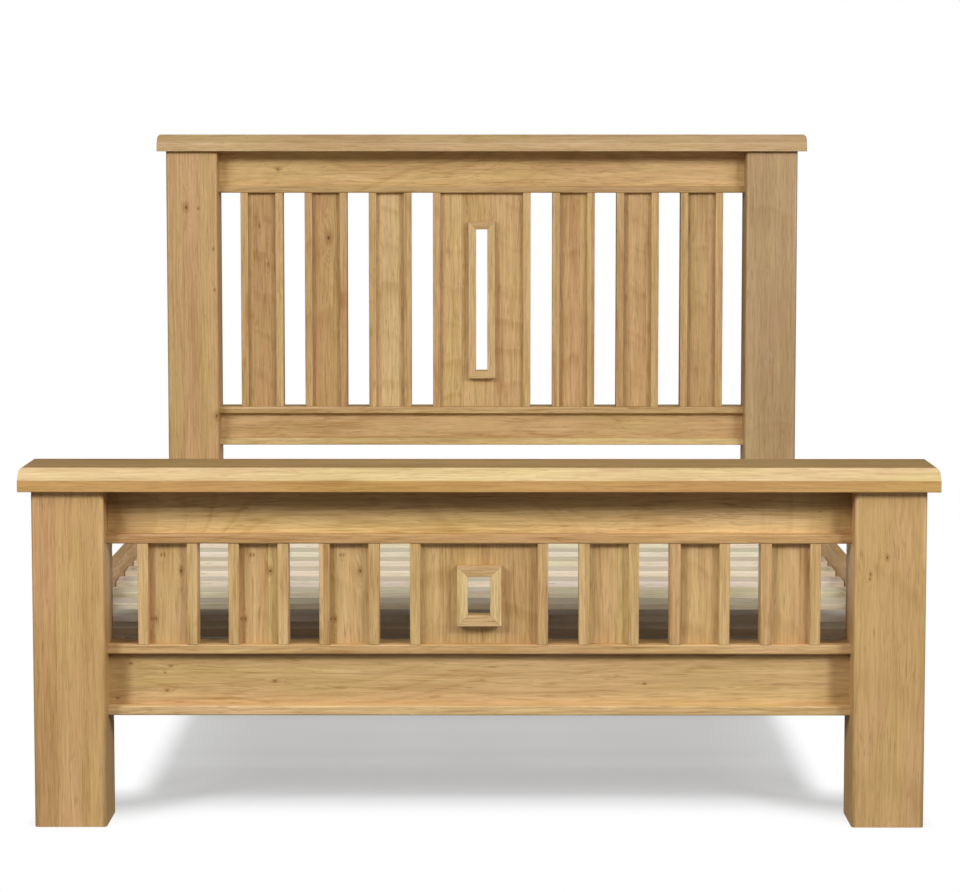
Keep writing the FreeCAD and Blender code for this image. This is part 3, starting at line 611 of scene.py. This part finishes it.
@dataclass
class Joiner:
    """Makes the materials of the boards, no two with the same figure."""

    staves: SharedGroup = field(default_factory=staves_group)
    knot: SharedGroup = field(default_factory=knot_group)
    figure: SharedGroup = field(default_factory=figure_group)
    finish: SharedGroup = field(default_factory=finish_group)

    def timber(
        self, wiring: Wiring, timber: Timber, cut: Cut, middle: Vector
    ) -> tuple[Any, Any, Any]:
        """Wires one sawn board.

        Args:
            wiring: The material's wiring.
            timber: The species and its surface.
            cut: How the board was sawn.
            middle: The middle of the board.

        Returns:
            The sockets of its colour, roughness and height.
        """
        here = wiring.here()
        feeds = {"Vector": wiring.offset(here, tuple(middle)), "Rotation": cut.grain.radians()}
        place = wiring.add("ShaderNodeMapping", feeds).outputs["Vector"]
        feeds = {
            "Place": place, "Width": cut.stave, "Shift": cut.stave * STAVE_STARTS[cut.seed % 2],
            "Seed": float(cut.seed), "Stray": cut.stray,
        }
        staves = self.staves.place(wiring, feeds)
        bend, core, halo = 0.0, 0.0, 0.0
        for x, z, size in cut.knots:
            spot = Vector((x - middle.x, 0.0, z - middle.z))
            if cut.grain is Grain.UP:
                spot = Vector((spot.z, 0.0, -spot.x))
            elif cut.grain is Grain.FLAT:
                spot.z = z
            knot = self.knot.place(wiring, {"Place": place, "Centre": tuple(spot), "Size": size})
            bend = wiring.sums("ADD", knot["Bend"], bend)
            core = wiring.sums("MAXIMUM", knot["Core"], core)
            halo = wiring.sums("MAXIMUM", knot["Halo"], halo)
        feeds = {
            "Place": wiring.stretch(staves["Place"], PLAIN, (cut.seed * SEED_STEP, 0.0, 0.0)),
            "Pith": (0.0, *cut.pith), "Tilt": cut.tilt, "Ring Width": timber.ring_width,
            "Wander": cut.wander, "Bend": bend,
        }
        figure = self.figure.place(wiring, feeds)
        feeds = {label: figure[label] for label in FIGURE} | {
            "Pale": tinted(timber.pale, cut.tint), "Deep": tinted(timber.deep, cut.tint),
            "Pore Shade": timber.pore_shade, "Stave": staves["Tone"], "Seam": staves["Seam"],
            "Ring Depth": timber.ring_depth * cut.rings, "Contrast": timber.contrast * cut.lively,
            "Gloss": timber.gloss, "Core": core, "Halo": halo,
        }
        finish = self.finish.place(wiring, feeds)
        colour = finish["Colour"]
        if cut.layers:
            parts = wiring.split(here)
            counts = {Measure.ASIDE: wiring.sums("ABSOLUTE", parts[0]), Measure.HEIGHT: parts[2]}
        for layer in cut.layers:
            change = wiring.span(counts[layer.measure], layer.start, layer.stop)
            tint = wiring.blend(change, (*PLAIN, 1.0), (*layer.tint, 1.0))
            colour = wiring.blend(1.0, colour, tint, "MULTIPLY")
        return colour, finish["Roughness"], finish["Height"]

    def board(self, name: str, timber: Timber, cut: Cut, middle: Vector) -> bpy.types.Material:
        """Makes the material of one board.

        Args:
            name: The board's name.
            timber: The species and its surface.
            cut: How the board was sawn.
            middle: The middle of the board.

        Returns:
            The board's material.
        """
        material, wiring, shader = new_material(f"{timber.name} {name}")
        self.surface(wiring, shader, timber, self.timber(wiring, timber, cut, middle))
        return material

    def mitred(
        self, name: str, timber: Timber, cuts: tuple[Cut, Cut], middle: Vector, size: Vector
    ) -> bpy.types.Material:
        """Makes the material of a mitred frame, whose sides and rungs are sawn apart.

        Args:
            name: The frame's name.
            timber: The species and its surface.
            cuts: How the sides and the rungs were sawn.
            middle: The middle of the frame.
            size: The frame's overall size.

        Returns:
            The frame's material.
        """
        material, wiring, shader = new_material(f"{timber.name} {name}")
        side = self.timber(wiring, timber, cuts[0], middle)
        rung = self.timber(wiring, timber, cuts[1], middle)
        parts = wiring.split(wiring.offset(wiring.here(), tuple(middle)))
        wide = wiring.sums("SUBTRACT", wiring.sums("ABSOLUTE", parts[0]), size.x / 2)
        tall = wiring.sums("SUBTRACT", wiring.sums("ABSOLUTE", parts[2]), size.z / 2)
        lead = wiring.sums("SUBTRACT", tall, wide)
        on_rung = wiring.sums("GREATER_THAN", lead, 0.0)
        mitre = wiring.span(wiring.sums("ABSOLUTE", lead), 0.0002, 0.0007, FALLING)
        colour = wiring.blend(on_rung, side[0], rung[0])
        shade = (*timber.pore_shade, 1.0)
        colour = wiring.blend(wiring.sums("MULTIPLY", mitre, 0.5), colour, shade)
        rough, high = (
            wiring.add("ShaderNodeMix", {0: on_rung, 2: side[i], 3: rung[i]}).outputs[0] for i in (1, 2)
        )
        high = wiring.sums("SUBTRACT", high, mitre)
        self.surface(wiring, shader, timber, (colour, rough, high))
        return material

    def surface(
        self, wiring: Wiring, shader: Any, timber: Timber, sockets: tuple[Any, Any, Any]
    ) -> None:
        """Wires a board's sockets into its shader.

        Args:
            wiring: The material's wiring.
            shader: The material's main shader.
            timber: The species and its surface.
            sockets: The colour, the roughness and the relief.
        """
        colour, rough, height = sockets
        wiring.feed(shader.inputs["Base Color"], colour)
        wiring.feed(shader.inputs["Roughness"], rough)
        shader.inputs["Coat Weight"].default_value = timber.coat
        shader.inputs["Coat Roughness"].default_value = 0.3
        shader.inputs["Specular IOR Level"].default_value = 0.4
        wiring.bump(shader, height, 0.6, timber.relief)


# -------- pieces of the bed


@dataclass
class Workshop:
    """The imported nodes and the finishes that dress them."""

    nodes: dict[str, bpy.types.Object]
    joiner: Joiner = field(default_factory=Joiner)
    dressed: set[str] = field(default_factory=set)

    def middle(self, name: str) -> Vector:
        """Gives the middle of a node's box."""
        low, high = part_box(name)
        return (Vector(low) + Vector(high)) / 2

    def size(self, name: str) -> Vector:
        """Gives the size of a node's box."""
        low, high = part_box(name)
        return Vector(high) - Vector(low)

    def paint(self, name: str, material: bpy.types.Material) -> None:
        """Puts one material in every slot of a node."""
        data = self.nodes[name].data
        if not data.materials:
            data.materials.append(material)
        for number in range(len(data.materials)):
            data.materials[number] = material
        self.dressed.add(name)

    def ease(self, name: str, width: float) -> None:
        """Eases a node's arrises.

        Args:
            name: The node.
            width: How far the easing runs from the arris, in metres.
        """
        piece = self.nodes[name]
        weld = piece.modifiers.new("weld", "WELD")
        weld.merge_threshold = 0.00002
        bevel = piece.modifiers.new("eased arrises", "BEVEL")
        bevel.width = width
        bevel.segments = 2
        bevel.limit_method = "ANGLE"
        bevel.angle_limit = math.radians(40)
        bevel.harden_normals = True
        bevel.use_clamp_overlap = True

    def timber(self, name: str, timber: Timber, cut: Cut, ease: float = 0.001) -> None:
        """Dresses a node as one board, or as a set of boards sawn alike.

        Args:
            name: The node.
            timber: The species and its surface.
            cut: How the board was sawn.
            ease: How far its arrises are eased, in metres.
        """
        self.paint(name, self.joiner.board(name.replace("_", " "), timber, cut, self.middle(name)))
        if ease:
            self.ease(name, ease)
        LOG.info("%s: %s", name, timber.name)


@dataclass
class BedEnd:
    """The headboard or the footboard."""

    ending: Ending
    seed: int
    # The cap's own tone, then the painted light and shade of its bevel and of its top.
    cap_tone_and_painted_light: tuple[Triple, Triple, Triple]
    tints: dict[str, Triple]
    knots: dict[str, tuple[Triple, ...]]
    layers: dict[str, tuple[Layer, ...]] = field(default_factory=dict)
    arris: float = 0.0012
    slats: int = 6

    def name(self, piece: str) -> str:
        """Gives a piece's node name."""
        return f"{self.ending.value}_{piece}"

    def own(self, piece: str) -> dict[str, Any]:
        """Gives a piece's own tint, knots and layers, as a cut takes them."""
        return {
            "tint": self.tints.get(piece, PLAIN), "knots": self.knots.get(piece, ()),
            "layers": self.layers.get(piece, ()),
        }

    def dress(self, shop: Workshop) -> None:
        """Dresses every piece of this end.

        Args:
            shop: The nodes and finishes.
        """
        self.posts(shop)
        self.rails(shop)
        self.uprights(shop)
        self.window(shop)

    def posts(self, shop: Workshop) -> None:
        """Dresses the posts and the cap."""
        left = Cut(
            Grain.UP, self.seed + 1, pith=(0.12, 0.42), tilt=0.004, stave=0.045, lively=0.72,
            **self.own("post_left"),
        )
        right = Cut(
            Grain.UP, self.seed + 2, pith=(0.01, 0.008), tilt=0.018, wander=0.006, stave=0.4,
            stray=0.0, lively=0.72, rings=0.45, **self.own("post_right"),
        )
        shop.timber(self.name("post_left"), OAK, left, self.arris)
        shop.timber(self.name("post_right"), OAK, right, self.arris)
        middle = shop.middle(self.name("cap")).z
        # The bevel and top tints are painted light and shade, toned for how the lamps fall on each
        # face; the face tint is the cap's own tone.
        face, bevel, top = self.cap_tone_and_painted_light
        cap = Cut(
            Grain.FLAT, self.seed + 3, pith=(0.05, 0.16), tilt=0.01, wander=0.03, stave=0.08,
            stray=0.5, lively=0.7, tint=face,
            layers=(
                Layer(Measure.HEIGHT, middle - 0.0003, middle, bevel),
                Layer(Measure.HEIGHT, middle + 0.0209, middle + 0.0212, top),
            ),
        )
        shop.timber(self.name("cap"), OAK, cap, ease=0.0018)

    def rails(self, shop: Workshop) -> None:
        """Dresses the cross rails and their beads."""
        own = self.own("top_rail")
        top = whole(
            Grain.ACROSS, self.seed + 4, (0.02, 0.13), tilt=0.02, wander=0.05, rings=0.5, **own
        )
        own = self.own("lower_rail")
        low = whole(Grain.ACROSS, self.seed + 5, (0.05, 0.14), wander=0.02, lively=0.92, **own)
        bead = Cut(Grain.ACROSS, self.seed + 6, pith=(0.2, 0.3), tilt=0.01, wander=0.02, stave=0.07)
        pale = replace(bead, **self.own("lower_rail_beads"))
        brown = replace(bead, seed=self.seed + 7, **self.own("top_rail_bead"))
        shop.timber(self.name("top_rail"), OAK, top, self.arris)
        shop.timber(self.name("lower_rail"), OAK, low, self.arris)
        shop.timber(self.name("top_rail_bead"), OAK, brown, ease=0.0006)
        shop.timber(self.name("lower_rail_beads"), OAK, pale, ease=0.0006)

    def uprights(self, shop: Workshop) -> None:
        """Dresses the boards of the slats and the panel, and their edge strips."""
        for number in range(1, self.slats + 1):
            cut = Cut(
                Grain.UP, self.seed + 10 + number,
                pith=(0.04 + 0.02 * (number % 3), 0.12 * (number % 2) + 0.02),
                tilt=0.02 + 0.01 * (number % 2), wander=0.006, stave=0.047, stray=0.8, lively=0.9,
                **self.own(f"slat_{number}"),
            )
            shop.timber(self.name(f"slat_{number}"), OAK, cut, ease=0.0005)
        panel = Cut(
            Grain.UP, self.seed + 20, pith=(0.03, 0.03), tilt=0.03, wander=0.006, stave=0.085,
            stray=0.6, rings=0.5, **self.own("panel"),
        )
        shop.timber(self.name("panel"), OAK, panel, ease=0.0006)
        strips = Cut(
            Grain.UP, self.seed + 21, pith=(0.12, 0.3), tilt=0.012, wander=0.02, stave=0.0305,
            stray=1.6, **self.own("edge_strips"),
        )
        shop.timber(self.name("edge_strips"), OAK, strips, ease=0.0006)

    def window(self, shop: Workshop) -> None:
        """Dresses the mitred frame round the window."""
        name = self.name("window_frame")
        sides = whole(Grain.UP, self.seed + 30, (0.3, 0.1), tint=(1.14, 1.24, 1.38))
        rungs = whole(Grain.ACROSS, self.seed + 31, (0.3, 0.1), tint=(1.04, 1.08, 1.14))
        material = shop.joiner.mitred(
            name.replace("_", " "), OAK, (sides, rungs), shop.middle(name), shop.size(name)
        )
        shop.paint(name, material)
        shop.ease(name, 0.0008)
        LOG.info("%s: mitred oak", name)


@dataclass
class SlatBase:
    """The side rails, bearers, bed slats and the centre rail under them.

    The shaded slats nearest the foot carry painted footboard shadow, with painted light at their ends.
    """

    bed_slats: int = 15
    shaded: int = 2
    # Painted shadow on the shaded slats, and painted light on their ends.
    painted_shadow_tone: float = 0.55
    painted_light_ends: Layer = Layer(Measure.ASIDE, 0.6, 0.66, (1.6, 1.65, 1.7))
    seed: int = 300
    arris: float = 0.0012

    def dress(self, shop: Workshop) -> None:
        """Dresses the base.

        Args:
            shop: The nodes and finishes.
        """
        for number, side in enumerate(("left", "right")):
            rail = whole(Grain.ALONG, self.seed + number, (0.04, 0.14), wander=0.02)
            shop.timber(f"side_rail_{side}", OAK, rail, self.arris)
            bearer = whole(Grain.ALONG, self.seed + 3 + number, (0.08, 0.02))
            shop.timber(f"bearer_{side}", PINE, bearer, ease=0.0008)
        tie = whole(Grain.ACROSS, self.seed + 6, (0.03, 0.12), wander=0.02)
        shop.timber("head_tie_rail", OAK, tie, self.arris)
        centre = whole(Grain.ALONG, self.seed + 7, (0.08, 0.01), tilt=0.02)
        shop.timber("centre_rail", PINE, centre)
        leg = whole(Grain.UP, self.seed + 8, (0.08, 0.01))
        shop.timber("centre_leg", PINE, leg)
        for number in range(1, self.bed_slats + 1):
            shop.timber(f"bed_slat_{number:02d}", PINE, self.slat(number), ease=0.0)

    def slat(self, number: int) -> Cut:
        """Describes how a bed slat was sawn.

        Args:
            number: The slat, counted from the foot.

        Returns:
            The slat's cut.
        """
        shaded = number <= self.shaded
        # The shaded slats' tone is painted shadow of the footboard.
        tone = self.painted_shadow_tone if shaded else 1.03 + 0.03 * math.sin(number * 2.3)
        return whole(
            Grain.FLAT, self.seed + 20 + number,
            (0.05 + 0.02 * (number % 4), 0.05 * (number % 3) - 0.03), tilt=0.006 * (number % 3),
            wander=0.03, tint=(tone, tone, tone * (0.97 + 0.05 * math.sin(number * 4.1))),
            knots=self.slat_knots(number), layers=(self.painted_light_ends,) if shaded else (),
        )

    def slat_knots(self, number: int) -> tuple[Triple, ...]:
        """Gives a bed slat's knots.

        Args:
            number: The slat, counted from the foot.

        Returns:
            Each knot's place along and across the slat, and its size.
        """
        first = math.sin(number * 12.9) * 0.68
        second = math.sin(number * 7.7 + 1.0) * 0.68
        return ((first, 0.02 * math.sin(number * 3.1), 0.006), (second, -0.015, 0.0045))


@dataclass
class Fittings:
    """The steel and plastic parts."""

    steel: tuple[str, ...] = (
        "rail_studs", "crescent_washers", "rail_nuts", "wood_screws", "centre_rail_brackets",
    )
    plastic: tuple[str, ...] = ("floor_glides",)

    def dress(self, shop: Workshop) -> None:
        """Dresses the fittings.

        Args:
            shop: The nodes and finishes.
        """
        steel = Metal().build()
        for name in self.steel:
            shop.paint(name, steel)
        plastic = Plastic().build()
        for name in self.plastic:
            shop.paint(name, plastic)
        LOG.info("fittings: %s", ", ".join((*self.steel, *self.plastic)))


# -------- studio


@dataclass(frozen=True)
class Lamp:
    """A soft lamp of so many watts, its place, its aim and its size in metres.

    The lacquer mirrors it only if it has glare.
    """

    power: float
    place: Triple
    aim: Triple
    size: Pair
    glare: bool = True

    def hang(self) -> None:
        """Puts the lamp in the scene."""
        data = bpy.data.lights.new("soft lamp", "AREA")
        data.shape = "RECTANGLE"
        data.size, data.size_y = self.size
        data.energy = self.power
        data.color = (1.0, 0.995, 0.985)
        piece = bpy.data.objects.new("soft lamp", data)
        bpy.context.scene.collection.objects.link(piece)
        piece.location = self.place
        piece.visible_glossy = self.glare
        way = Vector(self.aim) - Vector(self.place)
        piece.rotation_euler = way.to_track_quat("-Z", "Y").to_euler()


@dataclass(frozen=True)
class FloorMarks:
    """Where the floor changes, in metres from the bed's middle: to a side, or towards the head."""

    lifted: Pair = (-0.2, 0.15)
    # Where the painted shade under the head end starts, stops and ends to the sides.
    painted_shade_start: Pair = (0.6, 0.7)
    painted_shade_stop: Pair = (0.88, 0.98)
    dark_side: Pair = (0.93, 0.97)
    foot_start: Pair = (-0.95, -0.78)
    foot_stop: Pair = (0.1, 0.3)
    foot_side: Pair = (0.62, 0.7)
    head_side: Pair = (0.79, 0.86)
    head_wider: float = 0.14
    tail_side: Pair = (0.5, 0.78)
    tail_rounding: float = 0.11
    before: Pair = (-1.06, -0.84)
    behind: Pair = (1.05, 1.4)


@dataclass
class Studio:
    """The pale floor, the soft lamps before, over and behind the bed, the fill and the camera."""

    marks: FloorMarks = FloorMarks()
    floor_seen: Triple = (0.4074, 0.42, 0.4368)
    # The colour of the painted shade under the head end.
    floor_painted_shade: Triple = (0.18, 0.16, 0.13)
    floor_lift: float = 0.45
    floor_bounce: float = 0.3
    key: Lamp = Lamp(177.0, (3.9, -5.6, 3.9), (0.0, -0.6, 0.55), (1.3, 1.7))
    side: Lamp = Lamp(83.0, (5.2, -4.2, 3.4), (0.0, -0.6, 0.55), (1.0, 1.0))
    over: Lamp = Lamp(51.0, (0.0, -3.2, 4.5), (0.0, -0.2, 0.4), (2.6, 1.5))
    back: Lamp = Lamp(170.0, (1.5, 6.6, 2.2), (0.0, 1.0, 0.7), (3.0, 1.6), glare=False)
    fill: float = 0.075
    camera_place: Triple = (0.0167, -6.0287, 1.2597)
    pitch: float = 4.685
    yaw: float = 0.173
    lens: float = 100.33
    shift: float = -0.08

    def build(self) -> None:
        """Builds the whole studio."""
        self.floor()
        self.surround()
        for way in (-1, 1):
            for lamp in (self.key, self.side):
                x, y, z = lamp.place
                replace(lamp, place=(way * x, y, z)).hang()
        self.over.hang()
        self.back.hang()
        self.camera()

    def floor(self) -> None:
        """Lays a wide pale floor that fades to white away from the bed, and is clear from below."""
        bpy.ops.mesh.primitive_circle_add(vertices=96, radius=30.0, fill_type="NGON")
        floor = bpy.context.object
        floor.name = "floor"
        material, wiring, shader = new_material("pale floor")
        bounce = self.floor_bounce
        shader.inputs["Base Color"].default_value = (bounce, bounce, bounce, 1.0)
        shader.inputs["Roughness"].default_value = 0.9
        shader.inputs["Specular IOR Level"].default_value = 0.1
        seen = wiring.add("ShaderNodeLightPath").outputs["Is Camera Ray"]
        feeds = {0: seen, 1: shader.outputs[0], 2: self.ground(wiring)}
        mixed = wiring.add("ShaderNodeMixShader", feeds).outputs[0]
        below = wiring.add("ShaderNodeNewGeometry").outputs["Backfacing"]
        clear = wiring.add("ShaderNodeBsdfTransparent").outputs[0]
        mixed = wiring.add("ShaderNodeMixShader", {0: below, 1: mixed, 2: clear}).outputs[0]
        out = next(n for n in material.node_tree.nodes if n.type == "OUTPUT_MATERIAL")
        wiring.feed(out.inputs["Surface"], mixed)
        floor.data.materials.append(material)

    def ground(self, wiring: Wiring) -> Any:
        """Wires the floor as the camera sees it, grey under the bed, with a painted shade under the
        head end, and white away from it.

        Args:
            wiring: The floor's wiring.

        Returns:
            The shader's socket.
        """
        marks = self.marks
        parts = wiring.split(wiring.here())
        side, along = wiring.sums("ABSOLUTE", parts[0]), parts[1]
        # A band under the head end is painted shade: darker floor standing for the deep shade seen
        # through the footboard's gaps.
        start = wiring.span(along, *marks.painted_shade_start)
        stop = wiring.span(along, *marks.painted_shade_stop, FALLING)
        dark = wiring.sums("MULTIPLY", start, stop)
        dark = wiring.sums("MULTIPLY", dark, wiring.span(side, *marks.dark_side, FALLING))
        tone = wiring.blend(dark, (*self.floor_seen, 1.0), (*self.floor_painted_shade, 1.0))
        matt = wiring.add("ShaderNodeBsdfDiffuse", {"Color": tone}).outputs[0]
        lift = wiring.span(along, *marks.lifted, (self.floor_lift, 0.0))
        glow = wiring.add("ShaderNodeEmission", {"Strength": lift}).outputs[0]
        near = wiring.add("ShaderNodeAddShader", {0: matt, 1: glow}).outputs[0]
        start = wiring.span(along, *marks.foot_start)
        stop = wiring.span(along, *marks.foot_stop, FALLING)
        within = wiring.sums("MULTIPLY", start, stop)
        edge = wiring.sums("MULTIPLY", wiring.span(side, *marks.foot_side), within)
        headward = wiring.span(along, *marks.foot_stop)
        outer = wiring.sums("MULTIPLY_ADD", headward, -marks.head_wider, side)
        flanks = wiring.sums("MAXIMUM", edge, wiring.span(outer, *marks.head_side))
        rounding = wiring.span(side, *marks.tail_side, (0.0, marks.tail_rounding))
        before = wiring.span(wiring.sums("ADD", rounding, along), *marks.before, FALLING)
        ends = wiring.sums("MAXIMUM", before, wiring.span(along, *marks.behind))
        faded = wiring.sums("MAXIMUM", flanks, ends)
        white = wiring.add("ShaderNodeEmission", {"Strength": 1.0}).outputs[0]
        return wiring.add("ShaderNodeMixShader", {0: faded, 1: near, 2: white}).outputs[0]

    def surround(self) -> None:
        """Sets the soft fill, and the white that the camera sees beyond the floor."""
        world = bpy.data.worlds.new("studio")
        bpy.context.scene.world = world
        world.use_nodes = True
        world.node_tree.nodes.clear()
        wiring = Wiring(world.node_tree)
        seen = wiring.add("ShaderNodeLightPath").outputs["Is Camera Ray"]
        feeds = {"Value": seen, "To Min": self.fill, "To Max": 1.0}
        strength = wiring.add("ShaderNodeMapRange", feeds).outputs[0]
        feeds = {"Color": (1.0, 1.0, 1.0, 1.0), "Strength": strength}
        light = wiring.add("ShaderNodeBackground", feeds)
        wiring.add("ShaderNodeOutputWorld", {"Surface": light.outputs[0]})

    def camera(self) -> None:
        """Sets the camera where the photograph was taken from."""
        data = bpy.data.cameras.new("camera")
        data.sensor_fit = "HORIZONTAL"
        data.sensor_width = 36.0
        data.lens = self.lens
        data.shift_y = self.shift
        data.clip_end = 100.0
        camera = bpy.data.objects.new("camera", data)
        bpy.context.scene.collection.objects.link(camera)
        camera.location = self.camera_place
        camera.rotation_euler = (math.radians(90 - self.pitch), 0.0, math.radians(self.yaw))
        bpy.context.scene.camera = camera


def footboard() -> BedEnd:
    """Describes the footboard and the tones, painted light and shade, and knots of its pieces.

    Returns:
        The footboard, ready to be dressed.
    """
    # The photograph repeats this slat, knots and all.
    copied = (
        (-0.39, 0.4758, 0.0026), (-0.437, 0.3851, 0.002), (-0.4445, 0.385, 0.0014),
        (-0.427, 0.5059, 0.0012), (-0.4208, 0.5061, 0.0012),
    )
    copy_step = 0.168
    return BedEnd(
        # The cap's bevel tint is a painted highlight and its top tint a painted shade.
        Ending.FOOT, 100, cap_tone_and_painted_light=((1.0, 0.94, 0.72), (1.2, 1.51, 2.22), (0.64, 0.53, 0.42)),
        tints={
            "post_left": (0.99, 0.94, 0.9), "post_right": (0.96, 0.92, 0.89),
            # The top rail's raised tint is partly painted light, standing for the lit band below the
            # cap's shade.
            "top_rail": (1.31, 1.41, 1.42), "top_rail_bead": (0.99, 0.94, 0.87),
            "lower_rail": (1.07, 1.12, 1.09), "lower_rail_beads": (1.1, 1.14, 1.2),
            "panel": (0.98, 0.99, 0.96), "slat_1": (1.03, 1.03, 1.06), "slat_2": (1.1, 1.16, 1.16),
            "slat_3": (1.05, 1.1, 1.07), "slat_4": (1.1, 1.17, 1.15), "slat_5": (1.03, 1.03, 1.04),
            "slat_6": (1.03, 1.04, 1.05), "edge_strips": (1.04, 1.05, 1.06),
        },
        layers={
            "top_rail": (
                # Painted shade under the cap, over the top of the rail.
                Layer(Measure.HEIGHT, 0.582, 0.614, (0.58, 0.52, 0.42)),
                # Painted shadow of the posts on the rail's ends.
                Layer(Measure.ASIDE, 0.58, 0.69, (0.74, 0.68, 0.6)),
            ),
            "lower_rail": (
                # Painted shadow of the posts on the rail's ends.
                Layer(Measure.ASIDE, 0.645, 0.662, (0.82, 0.77, 0.7)),
                # Painted shade line under the upper bead.
                Layer(Measure.HEIGHT, 0.3125, 0.3165, (0.66, 0.62, 0.58)),
            ),
            "lower_rail_beads": (
                Layer(Measure.HEIGHT, 0.28, 0.3, (0.9, 0.86, 0.78)),
                # Painted highlight on the top face of the upper bead.
                Layer(Measure.HEIGHT, 0.3438, 0.3446, (1.2, 1.28, 1.48)),
            ),
            # Painted shadow of the edge strips on the outer side of these slat boards.
            "slat_1": (Layer(Measure.ASIDE, 0.603, 0.607, (0.84, 0.76, 0.7)),),
            "slat_2": (Layer(Measure.ASIDE, 0.436, 0.44, (0.84, 0.76, 0.7)),),
            "slat_3": (Layer(Measure.ASIDE, 0.268, 0.272, (0.84, 0.76, 0.7)),),
        },
        knots={
            "post_right": (
                (0.7547, 0.509, 0.002), (0.7237, 0.4776, 0.0018), (0.7228, 0.469, 0.0013),
            ),
            "slat_1": (
                (-0.5568, 0.4758, 0.0026), (-0.6044, 0.3851, 0.002), (-0.612, 0.385, 0.0014),
                (-0.594, 0.5059, 0.0012), (-0.5878, 0.5061, 0.0012),
            ),
            "slat_2": copied,
            "slat_3": tuple((x + copy_step, z, size) for x, z, size in copied),
            "lower_rail": (
                (-0.3831, 0.2668, 0.0016), (-0.5856, 0.2488, 0.0014), (-0.6534, 0.3, 0.0015),
                (-0.5782, 0.2948, 0.0015), (-0.589, 0.2829, 0.001), (-0.678, 0.2339, 0.0014),
                (0.31, 0.262, 0.0014),
            ),
        },
    )


def headboard() -> BedEnd:
    """Describes the headboard and the tones and knots of its pieces.

    Returns:
        The headboard, ready to be dressed.
    """
    return BedEnd(
        # The cap's bevel and top tints are painted shade.
        Ending.HEAD, 200, cap_tone_and_painted_light=((1.1, 1.2, 1.36), (0.95, 0.94, 0.92), (0.86, 0.82, 0.76)),
        tints={
            "post_left": (1.06, 1.07, 1.09), "post_right": (0.85, 0.87, 1.02),
            "top_rail": (1.05, 1.06, 1.05), "top_rail_bead": (0.86, 0.83, 0.82),
            "lower_rail": (1.06, 1.12, 1.15), "lower_rail_beads": (1.06, 1.14, 1.17),
            "slat_1": (0.95, 0.94, 0.92), "slat_3": (1.1, 1.19, 1.29), "slat_6": (0.89, 0.88, 0.87),
            "panel": (1.05, 1.08, 1.1),
        },
        knots={
            "post_left": (
                (-0.7758, 1.1094, 0.0042), (-0.744, 1.107, 0.0016), (-0.706, 1.0, 0.0018),
                (-0.703, 0.893, 0.0018), (-0.7, 0.56, 0.004),
            ),
            "slat_1": ((-0.588, 1.06, 0.0018), (-0.566, 0.958, 0.0018)),
            "slat_2": ((-0.405, 1.028, 0.0052),), "top_rail": ((-0.5378, 1.2077, 0.0026),),
        },
    )


def main() -> None:
    """Loads the bed, dresses it and sets it in the studio."""
    logging.basicConfig(level=logging.INFO, format="%(message)s")
    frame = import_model()
    scene = bpy.context.scene
    scene.view_settings.view_transform = "Standard"
    scene.view_settings.look = "None"
    shop = Workshop(frame["nodes"])
    for part in (footboard(), headboard(), SlatBase(), Fittings()):
        part.dress(shop)
    missing = sorted(set(shop.nodes) - shop.dressed)
    LOG.info("nodes left undressed: %s", missing or "none")
    Studio().build()


if __name__ == "__main__":
    main()
